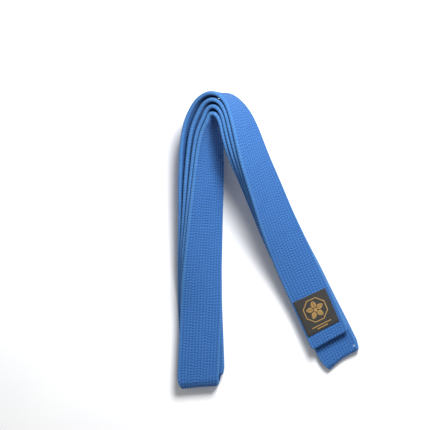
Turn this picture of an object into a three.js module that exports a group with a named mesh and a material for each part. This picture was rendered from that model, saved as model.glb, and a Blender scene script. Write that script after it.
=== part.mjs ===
// Martial arts belt, folded in four and bent over into an inverted V. Millimetres, +Z up.
import * as THREE from "three";

// ---- driving dimensions --------------------------------------------------------------------
const BELT_WIDTH = 40;
const BELT_THICKNESS = 4;
const COVER_WALL = 0.7;
const EDGE_CHAMFER = 0.8;
const SEAM_GAP = 0.4; // open slit of the cover's seam, along the far edge
const TIP_WALL = 1; // cloth turned in at each tip

const PLY_WIDTH = 37.6;
const PLY_THICKNESS = 1.05;
const PLY_OFFSET = 0.65; // middle of a ply from the middle of the belt
const PLY_END_GAP = 2.5;

const STITCH_ROW_OFFSET = 16.5; // outermost lengthwise row, from the belt's centre line
const GROOVE_HALF_WIDTH = 0.65;
const GROOVE_DEPTH = 0.5;
const THREAD_HALF_WIDTH = 0.35;
const THREAD_TOP = -0.06; // measured from the face of the belt
const THREAD_DEPTH = 0.3;

const CROSS_ROWS = [3.5, 7.5]; // distance of the cross stitching from a tip
const CROSS_LENGTH = 30;
const CROSS_WIDTH = 0.6;
const CROSS_HEIGHT = 0.22;

const LABEL_WIDTH = 34;
const LABEL_LENGTH = 36;
const LABEL_THICKNESS = 0.6;
const LABEL_SHIFT = 1.5; // towards the near edge
const BORDER_INSET = 1;
const BORDER_WIDTH = 0.5;
const FRAME_RADIUS = 12.4;
const FRAME_WIDTH = 0.9;
const FRAME_CORNERS = 8;
const FRAME_CENTRE = 20.5; // above the foot of the label
const PETALS = 5;
const PETAL_LENGTH = 7;
const PETAL_WIDTH = 5.4;
const PETAL_START = 2.4; // from the middle of the blossom
const PETAL_ROOT = 0.25; // width at the root, as a share of the widest
const PETAL_TIP = 0.7; // the same close to the end, where the petal turns round
const PETAL_TIP_LENGTH = 0.6;
const PETAL_WIDEST_AT = 0.55; // share of the petal's length
const HEART_RADIUS = 1.8;
const HEART_CORNERS = 6;
const BARS = [[5.4, 20], [3, 11]]; // height above the foot of the label, length
const BAR_WIDTH = 1.1;
const EMBROIDERY_HEIGHT = 0.35;

const AIR = 0.1; // left between pieces that lie on one another
const LABEL_AIR = 0.4; // under the label, which is flat on a slightly twisted belt

// ---- how the belt lies ----------------------------------------------------------------------
// Each row is a station along the bent stack, from the left leg over the arch to the right leg:
// outermost layer x, y, z | innermost layer x, y, z | roll of the width in degrees |
// share by which the two middle layers sink towards the inside | their slip across, in mm.
const LIE = [
  [-66, -180.5, 2, -71, -180.5, 16.4, -90, 0, 5.5],
  [-66.5, -143.5, 2, -69, -143.5, 16.4, -90, 0, 5.5],
  [-67, -106.5, 2, -67, -106.5, 16.4, -90, 0, 3.5],
  [-67.5, -69, 2, -65.5, -69, 16.4, -90, 0, 1],
  [-69.5, -30, 9.6, -64.5, -30, 23.2, -68, 0, 0],
  [-70.5, 7, 13.2, -62.5, 7, 26.2, -58, 0.02, 0],
  [-71.5, 42, 15.2, -59.5, 42, 28, -50, 0.07, 0],
  [-73, 75, 17.4, -57.5, 76, 29.6, -43, 0.1, 0],
  [-73.5, 106.5, 21.6, -56, 103.5, 33.6, -32, 0.1, 0],
  [-66.5, 131.5, 29.6, -51.5, 116.5, 38.6, -16, 0.1, 0],
  [-49.5, 140, 42.1, -45.2, 120.5, 43.5, 2, 0, 0],
  [-34, 131.5, 52.8, -40.3, 114, 46, 23, -0.02, 0],
  [-24.8, 107, 56.8, -34.8, 99.5, 46, 37, 0, 0],
  [-16.5, 78, 54.1, -25.5, 79, 42.4, 45, 0, 0],
  [-4.5, 47, 43.6, -9, 49, 29, 54, 0, 0],
  [9, 11.5, 31.1, 6.5, 14.5, 17, 65, 0, 0],
  [25, -22.5, 20.7, 25, -20.5, 6.8, 81, 0, 0],
  [40.5, -56.5, 16.4, 42.5, -55.5, 2, 90, 0, 0],
  [56, -90.5, 16.4, 59.5, -89.5, 2, 90, 0, 0],
  [71.5, -125, 16.4, 76.5, -124, 2, 90, 0, 0],
  [87, -159.5, 16.4, 93.5, -158.5, 2, 90, 0, 0],
];
const CENTRE_X = -0.6; // moves the rows above onto the middle of the object's box
const CENTRE_Y = 1.5;

// Ends of the layers and folds, as places along the stack (0 is the second row of LIE).
const OUTER_FOLD_AT = 0.25;
const INNER_FOLD_AT = 0.4;
const LABEL_TOP_AT = 15.9;
const LABEL_FOOT_AT = 16.86;
const TIP_1_AT = 17.19;
const TIP_2_AT = 17.1;
const FAR_FOLD_AT = 17.66;
const LEFT_LEG = [1, 1.8, 2.5, 3.2, 3.9, 4.6, 5.3];
const ARCH_FROM = 5.9;
const ARCH_TO = 12.5;
const ARCH_STEPS = 18;
const RIGHT_LEG = [13.3, 14.2, 15.1];
const FOLD_STEPS = 6;
const CORNER_TUCK = 3.5; // how far a fold's near corner is pulled in

// ---- curve helpers --------------------------------------------------------------------------
const DEGREE = Math.PI / 180;
const UP = new THREE.Vector3(0, 0, 1);

function blend(values, at) {
  const last = values.length - 3;
  const start = Math.min(Math.floor(at), last - 1);
  const f = at - start;
  const weights = [
    (1 - f) ** 3 / 6,
    (3 * f ** 3 - 6 * f ** 2 + 4) / 6,
    (-3 * f ** 3 + 3 * f ** 2 + 3 * f + 1) / 6,
    f ** 3 / 6,
  ];
  return weights.reduce((sum, weight, k) => sum + weight * values[start + k], 0);
}

const column = (k) => LIE.map((row) => row[k]);
const [OUT_X, OUT_Y, OUT_Z, IN_X, IN_Y, IN_Z, ROLL, SINK, SLIP] = LIE[0].map((_, k) => column(k));

// Middle of a layer: 1 is the outermost, 4 the innermost.
function layerPoint(layer, at) {
  const middle = layer === 2 || layer === 3;
  const share = (layer - 1) / 3 + (middle ? blend(SINK, at) : 0);
  const outer = new THREE.Vector3(blend(OUT_X, at), blend(OUT_Y, at), blend(OUT_Z, at));
  const inner = new THREE.Vector3(blend(IN_X, at), blend(IN_Y, at), blend(IN_Z, at));
  const point = outer.lerp(inner, share).add(new THREE.Vector3(CENTRE_X, CENTRE_Y, 0));
  return middle ? point.addScaledVector(widthDirection(at), blend(SLIP, at)) : point;
}

function layerTangent(layer, at) {
  const step = 1e-3;
  return layerPoint(layer, at + step).sub(layerPoint(layer, at - step)).normalize();
}

// Direction from the near edge to the far edge, shared by the four layers of the stack.
function widthDirection(at) {
  const tangent = layerTangent(1, at);
  const level = new THREE.Vector3().crossVectors(UP, tangent).normalize();
  const upright = new THREE.Vector3().crossVectors(tangent, level);
  const roll = blend(ROLL, at) * DEGREE;
  const normal = level.multiplyScalar(Math.cos(roll)).addScaledVector(upright, Math.sin(roll));
  return normal.cross(tangent).normalize();
}

// A station of the strip: its middle, the way along, across (towards the near edge) and outwards.
// Sense tells which way the strip runs along the stack.
function station(point, along, across, sense, tuck = 0) {
  const side = across.clone().addScaledVector(along, -across.dot(along)).normalize();
  const out = new THREE.Vector3().crossVectors(along, side);
  return { point, along, side, out, sense, tuck };
}

function layerStation(layer, at, sense) {
  const along = layerTangent(layer, at).multiplyScalar(sense);
  return station(layerPoint(layer, at), along, widthDirection(at).negate(), sense);
}

// Half turn from the end of one layer to the start of the next. The layers may lie a little
// aside of one another, so the middle line drifts across while the width keeps its direction.
function fold(from, to) {
  const middle = from.point.clone().add(to.point).multiplyScalar(0.5);
  const arm = from.point.clone().sub(middle);
  const rise = from.out.clone().multiplyScalar(arm.dot(from.out));
  const radius = rise.length();
  const stations = [];
  for (let k = 1; k < FOLD_STEPS; k += 1) {
    const turn = (Math.PI * k) / FOLD_STEPS;
    const point = middle.clone().addScaledVector(arm, Math.cos(turn));
    point.addScaledVector(from.along, radius * Math.sin(turn));
    const along = rise.clone().multiplyScalar(-Math.sin(turn) / radius);
    along.addScaledVector(from.along, Math.cos(turn));
    stations.push(station(point, along, from.side, 1, CORNER_TUCK * Math.sin(turn)));
  }
  return stations;
}

function between(from, to) {
  const inner = [...LEFT_LEG];
  for (let k = 0; k <= ARCH_STEPS; k += 1) {
    inner.push(ARCH_FROM + ((ARCH_TO - ARCH_FROM) * k) / ARCH_STEPS);
  }
  inner.push(...RIGHT_LEG, LABEL_TOP_AT, LABEL_FOOT_AT);
  return [from, ...inner.filter((at) => at > from && at < to), to];
}

// The whole strip: tip 1, outermost layer, left fold, innermost layer, far fold, third layer,
// inner left fold, second layer, tip 2.
function beltStations() {
  const run = (layer, places, sense) => places.map((at) => layerStation(layer, at, sense));
  const first = run(1, between(OUTER_FOLD_AT, TIP_1_AT).reverse(), -1);
  const fourth = run(4, between(OUTER_FOLD_AT, FAR_FOLD_AT), 1);
  const third = run(3, between(INNER_FOLD_AT, FAR_FOLD_AT).reverse(), -1);
  const second = run(2, between(INNER_FOLD_AT, TIP_2_AT), 1);
  return [
    ...first,
    ...fold(first.at(-1), fourth[0]),
    ...fourth,
    ...fold(fourth.at(-1), third[0]),
    ...third,
    ...fold(third.at(-1), second[0]),
    ...second,
  ];
}

const STATIONS = beltStations();

// The same strip, cut short at both ends.
function trimmed(stations, distance) {
  const cut = (end, next) => {
    const share = distance / end.point.distanceTo(next.point);
    const mix = (key) => end[key].clone().lerp(next[key], share);
    return { ...end, point: mix("point"), side: mix("side"), out: mix("out") };
  };
  const inner = stations.slice(1, -1);
  return [cut(stations[0], stations[1]), ...inner, cut(stations.at(-1), stations.at(-2))];
}

// ---- mesh helpers ---------------------------------------------------------------------------
// A point of the cross-section: w towards the near edge, n towards the outer face.
function sectionPoint(place, [w, n]) {
  const width = w > 0 ? w * (1 - place.tuck / (BELT_WIDTH / 2)) : w;
  return place.point.clone().addScaledVector(place.side, width).addScaledVector(place.out, n);
}

function meshFrom(points, faces, material) {
  const geometry = new THREE.BufferGeometry().setFromPoints(points);
  geometry.setIndex(faces.flat());
  geometry.computeVertexNormals();
  return new THREE.Mesh(geometry, material);
}

// Two triangles between stations a and b along the section edge i-j. The diagonal always runs
// the same way across the stack, so that neighbouring layers stay parallel.
function band(section, i, j, a, b, sense) {
  const count = section.length;
  const [ai, aj, bi, bj] = [a * count + i, a * count + j, b * count + i, b * count + j];
  const nearFirst = section[i][0] > section[j][0];
  if (nearFirst === sense > 0) return [[ai, aj, bj], [ai, bj, bi]];
  return [[ai, aj, bi], [aj, bj, bi]];
}

function capFaces(section, corners, base, flip) {
  const outline = corners.map((k) => new THREE.Vector2(section[k][0], section[k][1]));
  const faces = THREE.ShapeUtils.triangulateShape(outline, []);
  return faces.map((face) => {
    const [p, q, r] = face.map((k) => base + corners[k]);
    return flip ? [p, r, q] : [p, q, r];
  });
}

const indices = (count) => Array.from({ length: count }, (_, k) => k);

// Solid strip of one cross-section, listed anticlockwise from w towards n.
function sweep(section, stations, material) {
  const points = stations.flatMap((place) => section.map((corner) => sectionPoint(place, corner)));
  const faces = [];
  for (let a = 0; a < stations.length - 1; a += 1) {
    section.forEach((_, i) => {
      const j = (i + 1) % section.length;
      faces.push(...band(section, i, j, a, a + 1, stations[a].sense));
    });
  }
  const all = indices(section.length);
  faces.push(...capFaces(section, all, 0, true));
  faces.push(...capFaces(section, all, (stations.length - 1) * section.length, false));
  return meshFrom(points, faces, material);
}

function material(color, roughness, metalness = 0) {
  return new THREE.MeshStandardMaterial({ color, roughness, metalness });
}

const COTTON = material("#3568ab", 0.88);
const PADDING = material("#d9d5c8", 0.95);
const STITCHING = material("#4f82c4", 0.7);
const LABEL_CLOTH = material("#1d1b1a", 0.75);
const LABEL_EDGE = material("#2c2926", 0.7);
const GOLD_THREAD = material("#c49a45", 0.45, 0.2);

// ---- outer cover ----------------------------------------------------------------------------
const HALF_WIDTH = BELT_WIDTH / 2;
const FACE = BELT_THICKNESS / 2;

function groove(w, face, sense) {
  const depth = face - Math.sign(face) * GROOVE_DEPTH;
  return [
    [w - sense * GROOVE_HALF_WIDTH, face],
    [w, depth],
    [w + sense * GROOVE_HALF_WIDTH, face],
  ];
}

// Outside of the cover from one lip of the seam round to the other.
function coverOutside() {
  const lip = SEAM_GAP / 2;
  const shoulder = HALF_WIDTH - EDGE_CHAMFER;
  const rise = FACE - EDGE_CHAMFER;
  return [
    [-HALF_WIDTH, -lip], [-HALF_WIDTH, -rise], [-shoulder, -FACE],
    ...groove(-STITCH_ROW_OFFSET, -FACE, 1), ...groove(STITCH_ROW_OFFSET, -FACE, 1),
    [shoulder, -FACE], [HALF_WIDTH, -rise], [HALF_WIDTH, rise], [shoulder, FACE],
    ...groove(STITCH_ROW_OFFSET, FACE, -1), ...groove(-STITCH_ROW_OFFSET, FACE, -1),
    [-shoulder, FACE], [-HALF_WIDTH, rise], [-HALF_WIDTH, lip],
  ];
}

function coverInside() {
  const lip = SEAM_GAP / 2;
  const w = HALF_WIDTH - COVER_WALL;
  const n = FACE - COVER_WALL;
  return [[-w, lip], [-w, n], [w, n], [w, -n], [-w, -n], [-w, -lip]];
}

function outerCover() {
  const outside = coverOutside();
  const section = [...outside, ...coverInside()];
  const stations = [
    STATIONS[0],
    trimmed(STATIONS, TIP_WALL)[0],
    ...STATIONS.slice(1, -1),
    trimmed(STATIONS, TIP_WALL).at(-1),
    STATIONS.at(-1),
  ];
  const points = stations.flatMap((place) => section.map((corner) => sectionPoint(place, corner)));
  const last = stations.length - 1;
  const faces = [];
  for (let a = 0; a < last; a += 1) {
    const tip = a === 0 || a === last - 1;
    const count = tip ? outside.length : section.length;
    for (let i = 0; i < count; i += 1) {
      faces.push(...band(section, i, (i + 1) % count, a, a + 1, stations[a].sense));
    }
  }
  const tipFace = indices(outside.length);
  const inner = indices(section.length).slice(outside.length).reverse();
  const hollow = [outside.length - 1, 0, ...inner];
  faces.push(...capFaces(section, tipFace, 0, true));
  faces.push(...capFaces(section, hollow, section.length, false));
  faces.push(...capFaces(section, hollow, (last - 1) * section.length, true));
  faces.push(...capFaces(section, tipFace, last * section.length, false));
  return meshFrom(points, faces, COTTON);
}

// ---- plies and lengthwise threads -----------------------------------------------------------
function corePly(side) {
  const middle = side * PLY_OFFSET;
  const w = PLY_WIDTH / 2;
  const n = PLY_THICKNESS / 2;
  const section = [[-w, middle - n], [w, middle - n], [w, middle + n], [-w, middle + n]];
  return sweep(section, trimmed(STATIONS, PLY_END_GAP), PADDING);
}

function lengthwiseThread(row, side) {
  const w = row * STITCH_ROW_OFFSET;
  const top = side * (FACE + THREAD_TOP);
  const root = side * (FACE + THREAD_TOP - THREAD_DEPTH);
  const right = side * THREAD_HALF_WIDTH;
  const section = [[w, root], [w + right, top], [w - right, top]];
  return sweep(section, trimmed(STATIONS, TIP_WALL), STITCHING);
}

// ---- pieces laid on a flat stretch of the belt ----------------------------------------------
// A patch is the flat plane through two stations, measured from its foot: x up the belt, w across.
function patch(foot, head) {
  const x = head.point.clone().sub(foot.point).normalize();
  const side = foot.side.clone().add(head.side);
  const out = foot.out.clone().add(head.out);
  side.addScaledVector(x, -side.dot(x)).normalize();
  out.addScaledVector(x, -out.dot(x)).addScaledVector(side, -out.dot(side)).normalize();
  return {
    hand: Math.sign(x.clone().cross(side).dot(out)),
    at: (along, w, n) => foot.point.clone().addScaledVector(x, along)
      .addScaledVector(side, w).addScaledVector(out, n),
  };
}

// Flat piece with the given outline (and an optional hole), from height low to height high.
function laidPiece(place, outline, low, high, surface, hole = []) {
  const flat = [...outline, ...hole].map(([x, w]) => new THREE.Vector2(x, w));
  const contour = flat.slice(0, outline.length);
  const inside = hole.length > 0 ? [flat.slice(outline.length)] : [];
  const top = THREE.ShapeUtils.triangulateShape(contour, inside);
  const count = flat.length;
  const points = [low, high].flatMap((n) => flat.map(({ x, y }) => place.at(x, y, n)));
  const faces = top.flatMap(([p, q, r]) => [[p + count, q + count, r + count], [p, r, q]]);
  const wall = (ring, start, turn) => {
    for (let i = 0; i < ring; i += 1) {
      const p = start + i;
      const q = start + ((i + 1) % ring);
      const [from, to] = turn ? [q, p] : [p, q];
      faces.push([from, to, to + count], [from, to + count, from + count]);
    }
  };
  wall(outline.length, 0, false);
  wall(hole.length, outline.length, true);
  const turned = place.hand * Math.sign(high - low) < 0;
  return meshFrom(points, turned ? faces.map(([p, q, r]) => [p, r, q]) : faces, surface);
}

function rectangle(x, w, length, width) {
  const [a, b] = [length / 2, width / 2];
  return [[x - a, w - b], [x + a, w - b], [x + a, w + b], [x - a, w + b]];
}

function polygon(x, w, radius, corners, turn = 0) {
  return indices(corners).map((k) => {
    const angle = turn + (2 * Math.PI * k) / corners;
    return [x + radius * Math.cos(angle), w + radius * Math.sin(angle)];
  });
}

const onLabel = patch(layerStation(1, LABEL_FOOT_AT, -1), layerStation(1, LABEL_TOP_AT, -1));
const LABEL_BASE = FACE + LABEL_AIR;
const LABEL_FACE = LABEL_BASE + LABEL_THICKNESS;

function label() {
  const outline = rectangle(LABEL_LENGTH / 2, LABEL_SHIFT, LABEL_LENGTH, LABEL_WIDTH);
  return laidPiece(onLabel, outline, LABEL_BASE, LABEL_FACE, LABEL_CLOTH);
}

function embroidery(outline, surface, hole = []) {
  const low = LABEL_FACE + AIR;
  return laidPiece(onLabel, outline, low, low + EMBROIDERY_HEIGHT, surface, hole);
}

function labelBorder() {
  const size = (inset) => [LABEL_LENGTH - 2 * inset, LABEL_WIDTH - 2 * inset];
  const outline = rectangle(LABEL_LENGTH / 2, LABEL_SHIFT, ...size(BORDER_INSET));
  const hole = rectangle(LABEL_LENGTH / 2, LABEL_SHIFT, ...size(BORDER_INSET + BORDER_WIDTH));
  return embroidery(outline, LABEL_EDGE, hole);
}

function emblemFrame() {
  const turn = Math.PI / FRAME_CORNERS;
  const outline = polygon(FRAME_CENTRE, LABEL_SHIFT, FRAME_RADIUS, FRAME_CORNERS, turn);
  const inner = FRAME_RADIUS - FRAME_WIDTH;
  const hole = polygon(FRAME_CENTRE, LABEL_SHIFT, inner, FRAME_CORNERS, turn);
  return embroidery(outline, GOLD_THREAD, hole);
}

// Petal pointing away from the middle of the blossom, widest near its outer end.
function petal(index) {
  const turn = (2 * Math.PI * index) / PETALS;
  const half = PETAL_WIDTH / 2;
  const end = PETAL_START + PETAL_LENGTH;
  const side = [
    [PETAL_START, PETAL_ROOT * half],
    [PETAL_START + PETAL_WIDEST_AT * PETAL_LENGTH, half],
    [end - PETAL_TIP_LENGTH, PETAL_TIP * half],
  ];
  const other = side.map(([r, t]) => [r, -t]);
  const outline = [...other, [end, 0], ...side.reverse()].map(([r, t]) => [
    FRAME_CENTRE + r * Math.cos(turn) - t * Math.sin(turn),
    LABEL_SHIFT + r * Math.sin(turn) + t * Math.cos(turn),
  ]);
  return embroidery(outline, GOLD_THREAD);
}

function crossStitch(place, distance, side) {
  const low = side * (FACE + AIR);
  const outline = rectangle(distance, 0, CROSS_WIDTH, CROSS_LENGTH);
  return laidPiece(place, outline, low, low + side * CROSS_HEIGHT, STITCHING);
}

// ---- the object -----------------------------------------------------------------------------
const belt = new THREE.Group();
belt.name = "martial_arts_belt";

function add(name, mesh) {
  mesh.name = name;
  belt.add(mesh);
}

add("outer_cover", outerCover());
add("core_ply_front", corePly(1));
add("core_ply_back", corePly(-1));
for (const [face, side] of [["front", 1], ["back", -1]]) {
  add(`edge_stitch_near_${face}`, lengthwiseThread(1, side));
  add(`edge_stitch_far_${face}`, lengthwiseThread(-1, side));
}
const tips = [
  patch(STATIONS[0], STATIONS[1]),
  patch(STATIONS.at(-1), STATIONS.at(-2)),
];
tips.forEach((place, tip) => {
  CROSS_ROWS.forEach((distance, row) => {
    add(`tip_${tip + 1}_cross_stitch_${row + 1}_front`, crossStitch(place, distance, 1));
    add(`tip_${tip + 1}_cross_stitch_${row + 1}_back`, crossStitch(place, distance, -1));
  });
});
add("label_cloth", label());
add("label_border_stitch", labelBorder());
add("emblem_frame", emblemFrame());
for (let k = 0; k < PETALS; k += 1) {
  add(`emblem_petal_${k + 1}`, petal(k));
}
const heart = polygon(FRAME_CENTRE, LABEL_SHIFT, HEART_RADIUS, HEART_CORNERS);
add("emblem_heart", embroidery(heart, GOLD_THREAD));
BARS.forEach(([height, length], k) => {
  const outline = rectangle(height, LABEL_SHIFT, BAR_WIDTH, length);
  add(`caption_bar_${k + 1}`, embroidery(outline, GOLD_THREAD));
});

export default belt;
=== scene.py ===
"""Looks of a martial arts belt that is folded in four and bent over into an inverted V.

The belt is one quilted cotton strip. Its path repeats the table of part.mjs, in millimetres, and
every vertex becomes metres when its mesh is made.
"""

import bpy
import numpy as np
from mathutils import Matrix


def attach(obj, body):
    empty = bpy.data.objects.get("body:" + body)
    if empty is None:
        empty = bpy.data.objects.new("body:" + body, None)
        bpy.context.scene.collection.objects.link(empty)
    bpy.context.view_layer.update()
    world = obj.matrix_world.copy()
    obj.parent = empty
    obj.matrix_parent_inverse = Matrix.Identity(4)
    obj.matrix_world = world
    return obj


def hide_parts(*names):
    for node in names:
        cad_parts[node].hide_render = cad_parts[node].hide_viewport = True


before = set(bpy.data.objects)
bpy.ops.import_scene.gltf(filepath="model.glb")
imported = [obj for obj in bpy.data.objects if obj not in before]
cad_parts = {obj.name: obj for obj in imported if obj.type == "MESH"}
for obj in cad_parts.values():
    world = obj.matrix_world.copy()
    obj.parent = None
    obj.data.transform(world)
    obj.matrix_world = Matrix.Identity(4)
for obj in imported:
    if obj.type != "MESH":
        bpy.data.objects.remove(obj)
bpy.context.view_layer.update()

BODY = "root"
MM = 0.001

# ---- driving dimensions of the belt, in millimetres -------------------------------------------
BELT_WIDTH = 40.0
BELT_THICKNESS = 4.0
HALF_WIDTH = BELT_WIDTH / 2
FACE = BELT_THICKNESS / 2
EDGE_ROUND = 2.1  # how far the rounded edge reaches in from the side
EDGE_STEPS = 6
SEAM_LIP = 1.8  # cloth turned in at the seam, along the far edge
SEAM_GAP = 0.2

ROWS = 12  # lengthwise rows of quilting on each face
ROW_PITCH = 3.0
STITCH = 2.6  # from one needle hole to the next
GROOVE_DEPTH = 0.32
GROOVE_HALF_WIDTH = 0.55
PILLOW = 0.13  # swelling of the cloth between two rows
PILLOW_SAMPLES = (0, 0.35, 0.8, 1.5, 2.2, 2.65)  # points across one pitch
THREAD_RADIUS = 0.2
THREAD_RINGS = (0.0, 0.17, 0.5, 0.83)  # places of a thread's rings from one needle hole to the next
THREAD_RIDE = 0.1  # height of a stitch over the groove's floor
THREAD_SINK = 0.5  # depth that the thread reaches in a needle hole

STATION_STEP = STITCH / 3
TIP_STEP = 0.35
TIP_DETAIL = 11.0  # length of finer stations at each tip
TIP_ROUND = 1.4  # rounding of the end's thickness
TIP_CORNER = 3.2  # rounding of the end's corners
CROSS_ROWS = (3.5, 7.5)  # distance of the cross stitching from a tip
CROSS_LENGTH = 30.0
CROSS_STITCH = 2.6
CROSS_GAP = 0.6

PLY_WIDTH = 37.6
PLY_THICKNESS = 1.05
PLY_OFFSET = 0.65
PLY_END_GAP = 2.5
PLY_STEP = 2.0
PLY_FOLD_STEP = 0.4

# How much each edge pulls in at a fold, and over what length of the lying belt.
NEAR_TUCK, NEAR_TUCK_LENGTH = 6.0, 13.0
FAR_TUCK, FAR_TUCK_LENGTH = 2.6, 7.0
SWAY = 0.3  # slow wandering of the strip from side to side
# Slant of the folds and tips, as a slope: the near side reaches further out.
FOLD_SKEWS = (0.06, 0.17, 0.05)
TIP_SKEW = 0.07
SKEW_LENGTH = 36.0

LABEL_WIDTH = 34.0
LABEL_LENGTH = 36.0
LABEL_THICKNESS = 0.55
LABEL_GAP = 0.12
LABEL_SHIFT = 1.5  # towards the near edge
LABEL_EDGE_ROUND = 0.7
BORDER_INSET = 1.2
BORDER_STITCH = 2.1
BORDER_GAP = 0.7
FRAME_RADIUS = 12.4
FRAME_WIDTH = 1.1
FRAME_CORNERS = 8
FRAME_CENTRE = 20.5  # above the foot of the label
PETALS = 5
PETAL_LENGTH = 7.0
PETAL_WIDTH = 5.4
PETAL_START = 2.4
HEART_RADIUS = 1.8
BARS = ((5.4, 20.0), (3.0, 11.0))  # height above the foot of the label, length
BAR_WIDTH = 1.2
SATIN_PITCH = 0.3
SATIN_RADIUS = 0.17
SATIN_RISE = 0.22

# ---- how the belt lies, as in part.mjs ----------------------------------------------------------
# Outermost layer x, y, z | innermost layer x, y, z | roll of the width in degrees | share by which
# the two middle layers sink towards the inside | their slip across, in mm.
LIE = np.array([
    [-66, -180.5, 2, -71, -180.5, 16.4, -90, 0, 5.5],
    [-66.5, -143.5, 2, -69, -143.5, 16.4, -90, 0, 5.5],
    [-67, -106.5, 2, -67, -106.5, 16.4, -90, 0, 3.5],
    [-67.5, -69, 2, -65.5, -69, 16.4, -90, 0, 1],
    [-69.5, -30, 9.6, -64.5, -30, 23.2, -68, 0, 0],
    [-70.5, 7, 13.2, -62.5, 7, 26.2, -58, 0.02, 0],
    [-71.5, 42, 15.2, -59.5, 42, 28, -50, 0.07, 0],
    [-73, 75, 17.4, -57.5, 76, 29.6, -43, 0.1, 0],
    [-73.5, 106.5, 21.6, -56, 103.5, 33.6, -32, 0.1, 0],
    [-66.5, 131.5, 29.6, -51.5, 116.5, 38.6, -16, 0.1, 0],
    [-49.5, 140, 42.1, -45.2, 120.5, 43.5, 2, 0, 0],
    [-34, 131.5, 52.8, -40.3, 114, 46, 23, -0.02, 0],
    [-24.8, 107, 56.8, -34.8, 99.5, 46, 37, 0, 0],
    [-16.5, 78, 54.1, -25.5, 79, 42.4, 45, 0, 0],
    [-4.5, 47, 43.6, -9, 49, 29, 54, 0, 0],
    [9, 11.5, 31.1, 6.5, 14.5, 17, 65, 0, 0],
    [25, -22.5, 20.7, 25, -20.5, 6.8, 81, 0, 0],
    [40.5, -56.5, 16.4, 42.5, -55.5, 2, 90, 0, 0],
    [56, -90.5, 16.4, 59.5, -89.5, 2, 90, 0, 0],
    [71.5, -125, 16.4, 76.5, -124, 2, 90, 0, 0],
    [87, -159.5, 16.4, 93.5, -158.5, 2, 90, 0, 0],
], float)
OUTER, INNER, ROLL, SINK, SLIP = LIE[:, :3], LIE[:, 3:6], LIE[:, 6:7], LIE[:, 7:8], LIE[:, 8:9]
CENTRE = np.array([-0.6, 1.5, 0])  # moves the rows above onto the middle of the object's box
UP = np.array([0.0, 0.0, 1.0])

# Ends of the layers and folds, as places along the stack (0 is the second row of LIE).
OUTER_FOLD_AT = 0.25
INNER_FOLD_AT = 0.4
LABEL_FOOT_AT = 16.86
TIP_1_AT = 17.19
TIP_2_AT = 17.1
FAR_FOLD_AT = 17.66
RUN_STEPS = 1100  # points on one layer from end to end
FOLD_STEPS = 24


# ---- camera ---------------------------------------------------------------------------------
CAMERA_PLACE = (-0.0528, 0.0249, 1.3)
SENSOR = 36.0
LENS = 111.63


def make_camera():
    """Looks straight down, with +Y up in the picture."""
    data = bpy.data.cameras.new("camera")
    data.sensor_width = SENSOR
    data.lens = LENS
    camera = bpy.data.objects.new("camera", data)
    camera.location = CAMERA_PLACE
    bpy.context.scene.collection.objects.link(camera)
    bpy.context.scene.camera = camera


# ---- the strip's path -------------------------------------------------------------------------
def unit(vectors):
    return vectors / np.linalg.norm(vectors, axis=-1, keepdims=True)


def dot(a, b):
    return (a * b).sum(-1, keepdims=True)


def smooth(share):
    """Even rise from 0 to 1, level at both ends."""
    share = np.clip(share, 0, 1)
    return share * share * (3 - 2 * share)


def blend(values, at):
    """Uniform cubic B-spline over the rows of a table, at many places along it."""
    start = np.minimum(np.floor(at).astype(int), len(values) - 4)
    f = (at - start)[:, None]
    weights = ((1 - f) ** 3, 3 * f**3 - 6 * f**2 + 4, -3 * f**3 + 3 * f**2 + 3 * f + 1, f**3)
    return sum(weight * values[start + k] for k, weight in enumerate(weights)) / 6


def layer_points(layer, at):
    """Middle of a layer: 1 is the outermost, 4 the innermost."""
    middle = layer in (2, 3)
    share = (layer - 1) / 3 + (blend(SINK, at) if middle else 0)
    outer = blend(OUTER, at)
    points = outer + (blend(INNER, at) - outer) * share + CENTRE
    return points + width_directions(at) * blend(SLIP, at) if middle else points


def layer_tangents(layer, at, step=1e-3):
    return unit(layer_points(layer, at + step) - layer_points(layer, at - step))


def width_directions(at):
    """From the near edge to the far edge, shared by the four layers of the stack."""
    tangent = layer_tangents(1, at)
    level = unit(np.cross(UP, tangent))
    upright = np.cross(tangent, level)
    roll = np.radians(blend(ROLL, at))
    normal = np.cos(roll) * level + np.sin(roll) * upright
    return unit(np.cross(normal, tangent))


def run(layer, start, end):
    """Points and near-edge directions of one layer, from one place on the stack to another."""
    at = np.linspace(start, end, RUN_STEPS)
    return layer_points(layer, at), -width_directions(at)


def fold(before, after):
    """Half turn between two layers. Its middle line drifts across if they lie aside of each other."""
    start, end = before[0][-1], after[0][0]
    leaving = unit(before[0][-1] - before[0][-2])
    meeting = unit(after[0][0] - after[0][1])
    middle = (start + end) / 2
    arm = start - middle
    side = before[1][-1]
    across_fold = arm - leaving * dot(arm, leaving) - side * dot(arm, side)
    radius = float(np.linalg.norm(across_fold))
    turn = np.linspace(0, np.pi, FOLD_STEPS + 1)[1:-1, None]
    share = smooth(turn / np.pi)
    outward = unit(leaving * (1 - share) + meeting * share)
    points = middle + arm * np.cos(turn) + outward * radius * np.sin(turn)
    sides = unit(side * (1 - share) + after[1][0] * share)
    return points, sides, radius, unit(leaving + meeting)


def lying_distance(distance, middle, radius):
    """How far points lie from the outermost line of a fold, or from a tip if the radius is 0."""
    away = np.abs(distance - middle)
    quarter = np.pi * radius / 2
    lying = np.maximum(away - quarter, 0)
    if radius > 0:
        lying = lying + radius * (1 - np.cos(np.minimum(away, quarter) / radius))
    return lying


def sway(distance):
    """A slow, even wandering made of three waves of unrelated lengths."""
    waves = ((61.0, 0.4), (97.0, 1.9), (173.0, 4.1))
    return sum(np.sin(2 * np.pi * distance / length + phase) for length, phase in waves) / len(waves)


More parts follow.
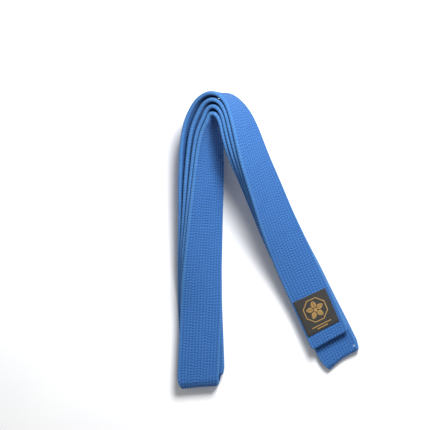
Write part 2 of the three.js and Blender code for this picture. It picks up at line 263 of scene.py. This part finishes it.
class Strip:
    """The belt's middle line from tip 1 to tip 2, with the directions across it and out of it."""

    def __init__(self):
        first = run(1, TIP_1_AT, OUTER_FOLD_AT)
        fourth = run(4, OUTER_FOLD_AT, FAR_FOLD_AT)
        third = run(3, FAR_FOLD_AT, INNER_FOLD_AT)
        second = run(2, INNER_FOLD_AT, TIP_2_AT)
        layers = (first, fourth, third, second)
        parts, self.folds, self.ends = [first], [], []
        for before, after, skew in zip(layers, layers[1:], FOLD_SKEWS):
            *bend, radius, outward = fold(before, after)
            parts += [bend, after]
            turned = np.concatenate([points for points, _ in parts[:-1]])
            reached = np.linalg.norm(np.diff(turned, axis=0), axis=1).sum()
            middle = reached - np.pi * radius / 2
            self.folds.append((middle, radius))
            self.ends.append((middle, radius, outward, skew))
        points = np.concatenate([points for points, _ in parts])
        sides = np.concatenate([sides for _, sides in parts])
        steps = np.linalg.norm(np.diff(points, axis=0), axis=1)
        self.distance = np.concatenate([[0], np.cumsum(steps)])
        self.length = self.distance[-1]
        along = unit(np.gradient(points, self.distance, axis=0))
        self.sides = unit(sides - along * dot(sides, along))
        self.outs = np.cross(along, self.sides)
        self.points = points + self.sides * SWAY * sway(self.distance)[:, None]
        self.ends.append((0, 0, -along[0], TIP_SKEW))
        self.ends.append((self.length, 0, along[-1], TIP_SKEW))

    def sample(self, vectors, distance):
        columns = [np.interp(distance, self.distance, vectors[:, k]) for k in range(3)]
        return np.stack(columns, axis=-1)

    def place(self, distance, across, height):
        """Points of the belt from their distance along it, across it and out of its middle plane."""
        distance, across, height = np.broadcast_arrays(distance, across, height)
        side = unit(self.sample(self.sides, distance))
        out = unit(self.sample(self.outs, distance))
        narrowed = across - self.tuck(distance, across)
        middle = self.sample(self.points, distance) + self.skewed(distance, across)
        return middle + side * narrowed[..., None] + out * height[..., None]

    def skewed(self, distance, across):
        """Shift that makes folds and tips run slightly slantwise across the belt."""
        shift = np.zeros((*distance.shape, 3))
        for middle, radius, outward, skew in self.ends:
            fade = smooth(1 - lying_distance(distance, middle, radius) / SKEW_LENGTH)
            shift += (across * skew * fade)[..., None] * outward
        return shift

    def tuck(self, distance, across):
        """How far a point moves in across the belt, where a fold's corners are pulled in."""
        near = self.corner(distance, NEAR_TUCK, NEAR_TUCK_LENGTH)
        far = self.corner(distance, FAR_TUCK, FAR_TUCK_LENGTH)
        share = (across / HALF_WIDTH) ** 2
        return np.where(across > 0, near * share, -far * share)

    def corner(self, distance, depth, length):
        pulled = np.zeros_like(distance)
        for middle, radius in self.folds:
            left = np.clip(1 - lying_distance(distance, middle, radius) / length, 0, 1)
            pulled = np.maximum(pulled, depth * (1 - np.sqrt(1 - left**2)))
        return pulled


# ---- mesh helpers -----------------------------------------------------------------------------
def make_piece(name, points, faces, material, replaced=(), uv=None, attributes=None):
    """Mesh object from points in millimetres. uv and attributes hold one value for each point."""
    mesh = bpy.data.meshes.new(name)
    mesh.from_pydata((points * MM).tolist(), [], [list(face) for face in faces])
    mesh.polygons.foreach_set("use_smooth", np.ones(len(mesh.polygons), bool))
    if uv is not None:
        corners = np.zeros(len(mesh.loops), np.int32)
        mesh.loops.foreach_get("vertex_index", corners)
        layer = mesh.uv_layers.new(name="strip")
        layer.data.foreach_set("uv", uv[corners].astype(np.float32).ravel())
    for key, values in (attributes or {}).items():
        attribute = mesh.attributes.new(key, "FLOAT", "POINT")
        attribute.data.foreach_set("value", values.astype(np.float32).ravel())
    mesh.materials.append(material)
    piece = bpy.data.objects.new(name, mesh)
    bpy.context.scene.collection.objects.link(piece)
    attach(piece, BODY)
    if replaced:
        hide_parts(*replaced)
    return piece


def grid_faces(rows, columns, closed):
    """Quads of a grid of points, and across its join if the columns close into a ring."""
    count = columns if closed else columns - 1
    row, column = np.meshgrid(np.arange(rows - 1), np.arange(count), indexing="ij")
    after = (column + 1) % columns
    here, there = row * columns, (row + 1) * columns
    quads = np.stack([here + column, here + after, there + after, there + column], axis=-1)
    return quads.reshape(-1, 4)


def ladder_faces(start, half, flip):
    """End cap of a ring that mirrors itself: quads between its upper and its lower half."""
    last = 2 * half - 2
    faces = [(start + k, start + last - k, start + last - k - 1, start + k + 1) for k in range(half - 2)]
    faces.append((start + half - 2, start + half, start + half - 1))
    return [face[::-1] for face in faces] if flip else faces


# ---- cover ------------------------------------------------------------------------------------
ROW_OFFSETS = ROW_PITCH * (np.arange(ROWS) - (ROWS - 1) / 2)


def section_half():
    """Upper half of the cover's section, from the seam's lip to the near edge, as (across, height)."""
    turn = np.linspace(0, np.pi / 2, EDGE_STEPS + 1)
    reach = HALF_WIDTH - EDGE_ROUND + EDGE_ROUND * np.sin(turn)
    rise = FACE * np.cos(turn)
    seam = [(-HALF_WIDTH + SEAM_LIP, SEAM_GAP), (-HALF_WIDTH + SEAM_LIP / 2, SEAM_GAP)]
    far_edge = [(-w, n) for w, n in zip(reach[::-1], rise[::-1]) if n > SEAM_GAP]
    margin = (0.9, 0.4)
    across = [-ROW_OFFSETS[-1] - m for m in margin]
    across += [row + step for row in ROW_OFFSETS[:-1] for step in PILLOW_SAMPLES]
    across += [ROW_OFFSETS[-1]] + [ROW_OFFSETS[-1] + m for m in margin[::-1]]
    return np.array(seam + far_edge + [(w, FACE) for w in across] + list(zip(reach, rise)))


def stitch_phases(face):
    """Where the needle holes of each row fall, as a share of a stitch."""
    return np.random.default_rng(face + 2).random(ROWS)


def needle_holes(distance, phase):
    """1 at a needle hole, 0 halfway along a stitch."""
    return 0.5 + 0.5 * np.cos(2 * np.pi * (distance / STITCH + phase))


def quilting(distance, across, face, length):
    """Height of the quilted face over its flat shape, and how raised each point is, from 0 to 1; the
    cotton material paints shade into the low points with it.
    """
    phases = stitch_phases(face)
    groove = np.zeros(np.broadcast(distance, across).shape)
    for row, phase in zip(ROW_OFFSETS, phases):
        pull = 0.6 + 0.4 * needle_holes(distance, phase)
        groove += pull * np.exp(-(((across - row) / GROOVE_HALF_WIDTH) ** 2))
    channel = (across - ROW_OFFSETS[0]) / ROW_PITCH
    between = np.clip(np.floor(channel), 0, ROWS - 2).astype(int)
    inside = (channel > 0) & (channel < ROWS - 1)
    swell = np.where(inside, np.sin(np.pi * (channel - between)) ** 2, 0)
    lump = needle_holes(distance, phases[between] + 0.5)
    pillow = swell * (0.55 + 0.45 * lump)
    for row in CROSS_ROWS:
        for middle in (row, length - row):
            near = np.exp(-(((distance - middle) / GROOVE_HALF_WIDTH) ** 2))
            groove = np.maximum(groove, near * (np.abs(across) < CROSS_LENGTH / 2))
    raised = np.clip(0.5 + 0.5 * pillow - 0.7 * groove, 0, 1)
    return PILLOW * (pillow - 1) - GROOVE_DEPTH * groove, raised


def cover_stations(strip):
    """Distances of the cover's rings: finer at the tips and round the folds."""
    tip = np.array([0, 0.12, 0.35, 0.7])
    places = [tip, strip.length - tip]
    places.append(np.arange(1.05, TIP_DETAIL, TIP_STEP))
    places.append(strip.length - places[-1])
    for middle, radius in strip.folds:
        reach = np.pi * radius / 2 + 1
        places.append(np.arange(middle - reach, middle + reach, STATION_STEP / 2))
    busy = np.sort(np.concatenate(places))
    regular = np.arange(TIP_DETAIL, strip.length - TIP_DETAIL, STATION_STEP)
    clear = [np.abs(busy - s).min() > STATION_STEP / 2 for s in regular]
    return np.sort(np.concatenate([busy, regular[clear]]))


def tip_shape(distance, length):
    """Shares of the width and of the thickness that are left near a tip."""
    from_tip = np.minimum(distance, length - distance)
    thick = np.clip(1 - from_tip / TIP_ROUND, 0, 1)
    corner = np.clip(1 - from_tip / TIP_CORNER, 0, 1)
    width = 1 - TIP_CORNER / HALF_WIDTH * (1 - np.sqrt(1 - corner**2))
    return width, np.sqrt(1.04 - thick**2)


def make_cover(strip, material):
    half = section_half()
    mirrored = half[-2::-1] * (1, -1)
    section = np.concatenate([half, mirrored])
    distance = cover_stations(strip)[:, None]
    width, thickness = tip_shape(distance, strip.length)
    across, height = section[:, 0][None], section[:, 1][None]
    flat = np.abs(height) >= FACE - 1e-6
    relief = np.zeros((len(distance), len(section)))
    raised = np.full_like(relief, 0.6)
    for face in (1, -1):
        lift, level = quilting(distance, across, face, strip.length)
        chosen = flat & (np.sign(height) == face)
        relief = np.where(chosen, face * lift, relief)
        raised = np.where(chosen, level, raised)
    points = strip.place(distance, across * width, (height + relief) * thickness)
    girth = np.concatenate([[0], np.cumsum(np.linalg.norm(np.diff(section, axis=0), axis=1))])
    along, around = np.broadcast_arrays(distance, girth[None])
    # Share of the way from the last row out to the side: the mask of the painted highlight on the rolled
    # edges.
    edge = np.clip((np.abs(across) - ROW_OFFSETS[-1]) / (HALF_WIDTH - ROW_OFFSETS[-1]), 0, 1)
    rings, columns = relief.shape
    faces = grid_faces(rings, columns, closed=False).tolist()
    faces += ladder_faces(0, len(half), flip=True)
    faces += ladder_faces((rings - 1) * columns, len(half), flip=False)
    cover = make_piece(
        "quilted_cover", points.reshape(-1, 3), faces, material, ["outer_cover"],
        uv=np.stack([along, around], axis=-1).reshape(-1, 2) * MM,
        # raised carries the painted shade of the grooves; edge carries the painted highlight of the
        # rolled edges.
        attributes={"raised": raised, "edge": np.broadcast_to(edge, relief.shape)},
    )
    return cover, girth[-1]


# ---- padding plies ----------------------------------------------------------------------------
def make_ply(strip, face, side, material):
    """One ply of padding cloth, a flat strip with rounded long edges."""
    turn = np.linspace(0, 2 * np.pi, 16, endpoint=False)
    reach = PLY_WIDTH / 2 - PLY_THICKNESS / 2
    across = np.sign(np.cos(turn)) * reach + np.cos(turn) * PLY_THICKNESS / 2
    height = side * PLY_OFFSET + np.sin(turn) * PLY_THICKNESS / 2
    plain = np.arange(PLY_END_GAP, strip.length - PLY_END_GAP, PLY_STEP)
    reach = (PLY_STEP + np.pi * radius / 2 for _, radius in strip.folds)
    bends = [
        np.arange(middle - around, middle + around, PLY_FOLD_STEP)
        for (middle, _), around in zip(strip.folds, reach)
    ]
    distance = np.unique(np.concatenate([plain, *bends]))[:, None]
    points = strip.place(distance, across[None], height[None])
    rings, columns = points.shape[:2]
    faces = grid_faces(rings, columns, closed=True).tolist()
    faces += [list(range(columns))[::-1], list(range((rings - 1) * columns, rings * columns))]
    name = f"padding_ply_{face}"
    ply = make_piece(name, points.reshape(-1, 3), faces, material, [f"core_ply_{face}"])
    return ply


# ---- threads ----------------------------------------------------------------------------------
def tube(centres, lateral, upward, radius, sides):
    """Points of a row of rings: centres (n, 3), with two directions and one radius for each."""
    turn = np.linspace(0, 2 * np.pi, sides, endpoint=False)
    ring = np.cos(turn)[:, None] * lateral[:, None] + np.sin(turn)[:, None] * upward[:, None]
    return (centres[:, None] + radius[:, None, None] * ring).reshape(-1, 3)


def make_stitch_row(strip, row, face, material):
    """One lengthwise row of quilting thread, which dips into a needle hole at each stitch."""
    side = {"front": 1, "back": -1}[face]
    across = ROW_OFFSETS[row]
    phase = stitch_phases(side)[row]
    first, last = TIP_ROUND / STITCH + phase, (strip.length - TIP_ROUND) / STITCH + phase
    stitches = np.arange(np.ceil(first), np.floor(last))[:, None] + THREAD_RINGS
    distance = ((stitches - phase) * STITCH).ravel()
    holes = needle_holes(distance, phase)
    groove = FACE - PILLOW - GROOVE_DEPTH * (0.6 + 0.4 * holes)
    height = groove + THREAD_RIDE - THREAD_SINK * holes**3
    centres = strip.place(distance, across, side * height)
    lateral = unit(strip.sample(strip.sides, distance))
    upward = unit(strip.sample(strip.outs, distance))
    sides = 4
    points = tube(centres, lateral, upward, np.full(len(distance), THREAD_RADIUS), sides)
    faces = grid_faces(len(distance), sides, closed=True)
    edges = {0: [f"edge_stitch_far_{face}"], ROWS - 1: [f"edge_stitch_near_{face}"]}
    name = f"stitch_row_{row + 1:02d}_{face}"
    return make_piece(name, points, faces, material, edges.get(row, ()))


STRAND_RINGS = np.array([0, 0.12, 0.35, 0.65, 0.88, 1])
STRAND_SIDES = 6


def strands(segments, place, floor, rise, radius):
    """Arched stitches between pairs of points (x, w) of a surface that place() maps, in one mesh."""
    turn = np.linspace(0, 2 * np.pi, STRAND_SIDES, endpoint=False)
    arch = 1 - (2 * STRAND_RINGS - 1) ** 4
    thick = radius * (0.55 + 0.45 * arch)
    points, faces = [], []
    for start, end in segments:
        start, end = np.array(start), np.array(end)
        direction = unit(end - start)
        lateral = np.array([-direction[1], direction[0]])
        middle = start + (end - start) * STRAND_RINGS[:, None]
        flat = middle[:, None] + thick[:, None, None] * np.cos(turn)[:, None] * lateral
        height = floor + rise * arch[:, None] + thick[:, None] * np.sin(turn)
        base = sum(len(p) for p in points)
        points.append(place(flat[..., 0], flat[..., 1], height).reshape(-1, 3))
        faces += (grid_faces(len(STRAND_RINGS), STRAND_SIDES, closed=True) + base).tolist()
        faces.append([base + k for k in range(STRAND_SIDES)][::-1])
        faces.append([base + (len(STRAND_RINGS) - 1) * STRAND_SIDES + k for k in range(STRAND_SIDES)])
    return np.concatenate(points), faces


def running_stitches(start, end, stitch, gap):
    """Stitches of one length with gaps between them, on the line from start to end."""
    start, end = np.array(start, float), np.array(end, float)
    length = np.linalg.norm(end - start)
    count = max(1, int((length + gap) // (stitch + gap)))
    pitch = (length + gap) / count
    way = (end - start) / length
    return [(start + way * pitch * k, start + way * (pitch * (k + 1) - gap)) for k in range(count)]


def make_cross_stitching(strip, tip, material):
    """The rows sewn across the belt near one tip, on both faces."""
    for number, distance in enumerate(CROSS_ROWS, 1):
        at = distance if tip == 1 else strip.length - distance
        for face, side in (("front", 1), ("back", -1)):
            line = ((at, -CROSS_LENGTH / 2), (at, CROSS_LENGTH / 2))
            segments = running_stitches(*line, CROSS_STITCH, CROSS_GAP)

            def place(x, w, n, side=side):
                return strip.place(x, w, side * n)

            floor = FACE - GROOVE_DEPTH
            points, faces = strands(segments, place, floor, SATIN_RISE * 1.5, THREAD_RADIUS * 1.3)
            name = f"tip_{tip}_cross_stitch_{number}_{face}"
            make_piece(f"{name}_thread", points, faces, material, [name])


# ---- label ------------------------------------------------------------------------------------
LABEL_FLOOR = FACE + LABEL_GAP
LABEL_TOP = LABEL_FLOOR + LABEL_THICKNESS
LABEL_MIDDLE = LABEL_LENGTH / 2


def label_foot(strip):
    """Distance of the label's foot from tip 1."""
    at = np.linspace(TIP_1_AT, LABEL_FOOT_AT, 50)
    return np.linalg.norm(np.diff(layer_points(1, at), axis=0), axis=1).sum()


def make_label(strip, place, material):
    """The woven label: a sheet whose top rolls over to the belt along all four sides."""
    steps = 60
    share = np.linspace(-1, 1, steps + 1)
    x, w = np.meshgrid(share * LABEL_LENGTH / 2, share * LABEL_WIDTH / 2, indexing="ij")
    from_edge = np.minimum(LABEL_LENGTH / 2 - np.abs(x), LABEL_WIDTH / 2 - np.abs(w))
    roll = np.clip(1 - from_edge / LABEL_EDGE_ROUND, 0, 1)
    top = LABEL_FLOOR + LABEL_THICKNESS * np.sqrt(1 - 0.8 * roll**2)
    sewn = np.exp(-(((from_edge - BORDER_INSET) / 0.45) ** 2))
    top -= 0.14 * sewn
    bottom = np.full_like(top, LABEL_FLOOR)
    upper = place(x + LABEL_MIDDLE, w + LABEL_SHIFT, top).reshape(-1, 3)
    lower = place(x + LABEL_MIDDLE, w + LABEL_SHIFT, bottom).reshape(-1, 3)
    side = steps + 1
    sheet = grid_faces(side, side, closed=False)
    count = side * side
    faces = sheet.tolist() + (sheet[:, ::-1] + count).tolist()
    border = [k for k in range(side)] + [k * side + steps for k in range(1, side)]
    border += [steps * side + k for k in range(steps - 1, -1, -1)]
    border += [k * side for k in range(steps - 1, 0, -1)]
    pairs = zip(border, border[1:] + border[:1])
    faces += [(b, a, a + count, b + count) for a, b in pairs]
    uv = np.stack([x, w], axis=-1).reshape(-1, 2) * MM
    points = np.concatenate([upper, lower])
    return make_piece(
        "woven_label", points, faces, material, ["label_cloth"],
        uv=np.concatenate([uv, uv]),
    )


def make_embroidery(name, node, segments, place, material, radius=SATIN_RADIUS):
    points, faces = strands(segments, place, LABEL_TOP, SATIN_RISE, radius)
    return make_piece(name, points, faces, material, [node])


def border_segments():
    half_x, half_w = LABEL_LENGTH / 2 - BORDER_INSET, LABEL_WIDTH / 2 - BORDER_INSET
    corners = [(-half_x, -half_w), (half_x, -half_w), (half_x, half_w), (-half_x, half_w)]
    shifted = [(x + LABEL_MIDDLE, w + LABEL_SHIFT) for x, w in corners]
    sides = zip(shifted, shifted[1:] + shifted[:1])
    return [s for a, b in sides for s in running_stitches(a, b, BORDER_STITCH, BORDER_GAP)]


def on_emblem(radius, sideways, turn):
    """Point of the emblem from its own axis, turned about the emblem's middle."""
    x = FRAME_CENTRE + radius * np.cos(turn) - sideways * np.sin(turn)
    w = LABEL_SHIFT + radius * np.sin(turn) + sideways * np.cos(turn)
    return x, w


def frame_segments():
    """Satin stitches across the band of a regular polygon, side by side along each side."""
    apothem = FRAME_RADIUS * np.cos(np.pi / FRAME_CORNERS)
    half = FRAME_RADIUS * np.sin(np.pi / FRAME_CORNERS)
    count = round(2 * half / SATIN_PITCH)
    segments = []
    for side in range(FRAME_CORNERS):
        turn = 2 * np.pi * side / FRAME_CORNERS
        for share in (np.arange(count) + 0.5) / count * 2 - 1:
            inner = apothem - FRAME_WIDTH
            segments.append((
                on_emblem(inner, share * half * inner / apothem, turn),
                on_emblem(apothem, share * half, turn),
            ))
    return segments


def petal_width(share):
    """Half width of a petal at a share of its length: narrow at the root, full near the end."""
    return PETAL_WIDTH / 2 * np.sin(np.pi * np.clip(share, 0, 1) ** 0.75) ** 0.8


def petal_segments(petal):
    """Two banks of slanting satin stitches that meet along the middle of the petal."""
    turn = 2 * np.pi * petal / PETALS
    count = round(PETAL_LENGTH / SATIN_PITCH)
    segments = []
    for step in range(1, count):
        share = step / count
        for bank in (-1, 1):
            root = PETAL_START + PETAL_LENGTH * (share - 0.12)
            outer = PETAL_START + PETAL_LENGTH * share
            reach = max(float(petal_width(share)), 0.35)
            segments.append((
                on_emblem(root, bank * 0.06, turn),
                on_emblem(outer, bank * reach, turn),
            ))
    return segments


def heart_segments():
    """Parallel satin stitches that fill the blossom's round heart."""
    segments = []
    for offset in np.arange(-HEART_RADIUS + SATIN_PITCH / 2, HEART_RADIUS, SATIN_PITCH):
        reach = np.sqrt(HEART_RADIUS**2 - offset**2)
        segments.append((on_emblem(offset, -reach, 0), on_emblem(offset, reach, 0)))
    return segments


def bar_segments(height, length):
    count = round(length / SATIN_PITCH)
    places = LABEL_SHIFT + (np.arange(count) + 0.5) / count * length - length / 2
    return [((height - BAR_WIDTH / 2, w), (height + BAR_WIDTH / 2, w)) for w in places]


def make_label_group(strip, label_material, edge_material, gold_material):
    foot = label_foot(strip)

    def place(x, w, n):
        return strip.place(foot + x, w, n)

    label = make_label(strip, place, label_material)
    border = make_embroidery(
        "label_border_thread", "label_border_stitch", border_segments(), place,
        edge_material, THREAD_RADIUS,
    )
    gold = [("emblem_frame", frame_segments()), ("emblem_heart", heart_segments())]
    gold += [(f"emblem_petal_{k + 1}", petal_segments(k)) for k in range(PETALS)]
    gold += [(f"caption_bar_{k + 1}", bar_segments(*bar)) for k, bar in enumerate(BARS)]
    sewn = [
        make_embroidery(f"{node}_satin", node, segments, place, gold_material)
        for node, segments in gold
    ]


# ---- materials --------------------------------------------------------------------------------
class Shader:
    """Short way to write a material's node tree."""

    def __init__(self, name, **sockets):
        self.material = bpy.data.materials.new(name)
        self.material.use_nodes = True
        self.tree = self.material.node_tree
        self.surface = self.tree.nodes["Principled BSDF"]
        self.plug(self.surface, sockets)

    def plug(self, node, sockets):
        for key, value in sockets.items():
            socket = node.inputs[key if isinstance(key, int) else key.replace("_", " ")]
            if isinstance(value, bpy.types.NodeSocket):
                self.tree.links.new(value, socket)
            else:
                socket.default_value = value

    def node(self, kind, output=0, sockets=None, **settings):
        """A new node with its settings and inputs, as its output socket."""
        node = self.tree.nodes.new("ShaderNode" + kind)
        for key, value in settings.items():
            setattr(node, key, value)
        self.plug(node, sockets or {})
        return node.outputs[output]

    def math(self, operation, a, b=0.0, c=0.0):
        return self.node("Math", sockets={0: a, 1: b, 2: c}, operation=operation)

    def wave(self, value, period, phase=0.0):
        """Sine of a length, with a period in the same unit and a phase in radians."""
        return self.math("SINE", self.math("MULTIPLY_ADD", value, 2 * np.pi / period, phase))

    def mix(self, factor, a, b):
        """Colour between a and b."""
        return self.node("Mix", output=2, sockets={0: factor, 6: a, 7: b}, data_type="RGBA")

    def noise(self, vector, scale, detail=2.0):
        return self.node("TexNoise", sockets={"Vector": vector, "Scale": scale, "Detail": detail})

    def stretched(self, vector, x, y, z):
        return self.node("VectorMath", sockets={0: vector, 1: (x, y, z)}, operation="MULTIPLY")

    def bump(self, height, distance, normal=None):
        sockets = {"Height": height, "Distance": distance, "Strength": 1.0}
        if normal is not None:
            sockets["Normal"] = normal
        return self.node("Bump", sockets=sockets)

    def finish(self, **sockets):
        self.plug(self.surface, sockets)
        return self.material


def colour(red, green, blue):
    """Linear colour from 0 to 255 screen values."""
    screen = np.array([red, green, blue]) / 255
    linear = np.where(screen <= 0.04045, screen / 12.92, ((screen + 0.055) / 1.055) ** 2.4)
    return (*linear.tolist(), 1.0)


def cotton_material():
    """Blue cotton drill: twill and puckers between the seams, with painted shade in the grooves and
    pucker valleys, lighter crowns, and a painted highlight on the rolled edges.
    """
    shader = Shader("blue_cotton", Roughness=0.9, Sheen_Weight=0.1, Sheen_Roughness=0.5)
    shader.plug(shader.surface, {"Sheen Tint": colour(150, 190, 235), "Specular IOR Level": 0.25})
    strip = shader.node("UVMap", uv_map="strip")
    along = shader.node("SeparateXYZ", output=0, sockets={0: strip})
    around = shader.node("SeparateXYZ", output=1, sockets={0: strip})
    # raised is the mask of the painted shade in the grooves; edge is the mask of the painted highlight
    # on the rolled edges.
    raised = shader.node("Attribute", output=2, attribute_name="raised")
    edge = shader.node("Attribute", output=2, attribute_name="edge")

    drift = shader.noise(shader.stretched(strip, 70, 150, 1), 1.0)
    bent = shader.math("MULTIPLY", drift, 14.0)
    pucker = shader.wave(along, 0.0026, bent)
    strength = shader.noise(shader.stretched(strip, 110, 60, 1), 1.0)
    pucker = shader.math("MULTIPLY", pucker, strength)
    twill = shader.wave(shader.math("ADD", along, around), 0.0009)
    yarns = shader.math("MULTIPLY", shader.wave(along, 0.00062), shader.wave(around, 0.00062))
    fibres = shader.noise(shader.stretched(strip, 2600, 2600, 1), 1.0, 3.0)

    # Painted shade and highlight: the colour is darker in the pucker valleys and quilting grooves and
    # lighter on the pucker crests and crowns; twill and fibres add the weave's own tone.
    painted_shade_and_weave = shader.math("MULTIPLY_ADD", pucker, 0.6, raised)
    painted_shade_and_weave = shader.math("MULTIPLY_ADD", twill, 0.07, painted_shade_and_weave)
    painted_shade_and_weave = shader.math("MULTIPLY_ADD", shader.math("SUBTRACT", fibres, 0.5), 0.35, painted_shade_and_weave)
    cloth = shader.mix(painted_shade_and_weave, colour(32, 74, 134), colour(56, 108, 172))
    patch = shader.noise(shader.stretched(strip, 26, 40, 1), 1.0, 3.0)
    patch = shader.math("MULTIPLY_ADD", patch, 0.9, -0.25)
    cloth = shader.mix(patch, cloth, shader.mix(0.25, cloth, colour(70, 124, 184)))
    # Painted highlight: the rolled edges are mixed towards a paler blue, more where the strength noise
    # is high.
    painted_edge_highlight = shader.math("MULTIPLY", edge, shader.math("MULTIPLY_ADD", strength, 0.5, 0.15))
    cloth = shader.mix(painted_edge_highlight, cloth, colour(84, 138, 192))

    weave = shader.math("MULTIPLY_ADD", yarns, 0.4, shader.math("MULTIPLY", twill, 0.6))
    fine = shader.math("MULTIPLY_ADD", fibres, 0.8, weave)
    normal = shader.bump(pucker, 0.00022)
    normal = shader.bump(fine, 0.00006, normal)
    rough = shader.math("MULTIPLY_ADD", painted_shade_and_weave, -0.08, 0.92)
    return shader.finish(Base_Color=cloth, Normal=normal, Roughness=rough)


def padding_material():
    """Unbleached padding cloth, coarsely woven."""
    shader = Shader("padding_cloth", Roughness=0.95, Sheen_Weight=0.2)
    place = shader.node("TexCoord", output=3)
    slubs = shader.noise(shader.stretched(place, 900, 900, 900), 1.0, 4.0)
    cloth = shader.mix(slubs, colour(190, 184, 166), colour(232, 228, 214))
    return shader.finish(Base_Color=cloth, Normal=shader.bump(slubs, 0.0002))


def thread_material(name, dark, light, roughness, metallic=0.0):
    """Twisted thread, with a fine ply and uneven dye."""
    shader = Shader(name, Roughness=roughness, Metallic=metallic, Sheen_Weight=0.2)
    place = shader.node("TexCoord", output=3)
    ply = shader.noise(shader.stretched(place, 2400, 2400, 2400), 1.0, 2.0)
    dye = shader.noise(shader.stretched(place, 180, 180, 180), 1.0, 2.0)
    tone = shader.math("MULTIPLY_ADD", ply, 0.7, shader.math("MULTIPLY", dye, 0.3))
    rough = shader.math("MULTIPLY_ADD", ply, 0.2, roughness - 0.1)
    thread = shader.mix(tone, dark, light)
    return shader.finish(Base_Color=thread, Normal=shader.bump(ply, 0.00008), Roughness=rough)


def label_material():
    """Near-black label cloth, woven in a close satin."""
    shader = Shader("label_satin", Roughness=0.6, Sheen_Weight=0.15)
    cloth = shader.node("UVMap", uv_map="strip")
    up = shader.node("SeparateXYZ", output=0, sockets={0: cloth})
    across = shader.node("SeparateXYZ", output=1, sockets={0: cloth})
    ribs = shader.wave(up, 0.00045)
    floats = shader.wave(shader.math("MULTIPLY_ADD", across, 0.35, up), 0.0012)
    dust = shader.noise(shader.stretched(cloth, 420, 420, 1), 1.0, 4.0)
    height = shader.math("MULTIPLY_ADD", ribs, 0.6, shader.math("MULTIPLY", floats, 0.4))
    tone = shader.math("MULTIPLY_ADD", height, 0.2, dust)
    black = shader.mix(tone, colour(12, 12, 11), colour(34, 32, 28))
    return shader.finish(Base_Color=black, Normal=shader.bump(height, 0.00006))


def floor_material():
    """Matt white paper with a very faint grain."""
    shader = Shader("pale_floor", Roughness=0.9)
    place = shader.node("TexCoord", output=3)
    grain = shader.noise(shader.stretched(place, 12, 12, 12), 1.0, 3.0)
    paper = shader.mix(grain, colour(244, 245, 247), colour(250, 250, 250))
    return shader.finish(Base_Color=paper)


# ---- studio -----------------------------------------------------------------------------------
FLOOR_SIZE = 4.0
WORLD_STRENGTH = 0.35
KEY = {"place": (0.1, 0.35, 0.55), "size": 0.25, "watts": 7.0}


def make_floor(material):
    half = FLOOR_SIZE / 2
    corners = [(-half, -half, 0), (half, -half, 0), (half, half, 0), (-half, half, 0)]
    mesh = bpy.data.meshes.new("floor")
    mesh.from_pydata(corners, [], [(0, 1, 2, 3)])
    mesh.materials.append(material)
    floor = bpy.data.objects.new("floor", mesh)
    bpy.context.scene.collection.objects.link(floor)


def make_light(name, place, size, watts):
    """Square soft box that faces the middle of the belt."""
    data = bpy.data.lights.new(name, "AREA")
    data.energy = watts
    data.size = size
    lamp = bpy.data.objects.new(name, data)
    lamp.location = place
    lamp.rotation_euler = (-lamp.location).to_track_quat("-Z", "Y").to_euler()
    bpy.context.scene.collection.objects.link(lamp)


def make_studio():
    scene = bpy.context.scene
    scene.view_settings.view_transform = "Standard"
    world = bpy.data.worlds.new("studio")
    world.use_nodes = True
    background = world.node_tree.nodes["Background"]
    background.inputs["Color"].default_value = (1.0, 1.0, 1.0, 1.0)
    background.inputs["Strength"].default_value = WORLD_STRENGTH
    scene.world = world
    make_floor(floor_material())
    make_light("key", **KEY)


# ---- the object -------------------------------------------------------------------------------
def make_belt():
    strip = Strip()
    cover, girth = make_cover(strip, cotton_material())
    padding = padding_material()
    plies = [make_ply(strip, face, side, padding) for face, side in (("front", 1), ("back", -1))]
    thread = thread_material("blue_thread", colour(44, 88, 150), colour(78, 130, 190), 0.7)
    for face in ("front", "back"):
        for row in range(ROWS):
            make_stitch_row(strip, row, face, thread)
    for tip in (1, 2):
        make_cross_stitching(strip, tip, thread)
    gold = thread_material("gold_thread", colour(126, 92, 44), colour(196, 160, 92), 0.45, 0.35)
    edging = thread_material("label_edge_thread", colour(16, 15, 14), colour(40, 38, 34), 0.6)
    make_label_group(strip, label_material(), edging, gold)


make_camera()
make_studio()
make_belt()
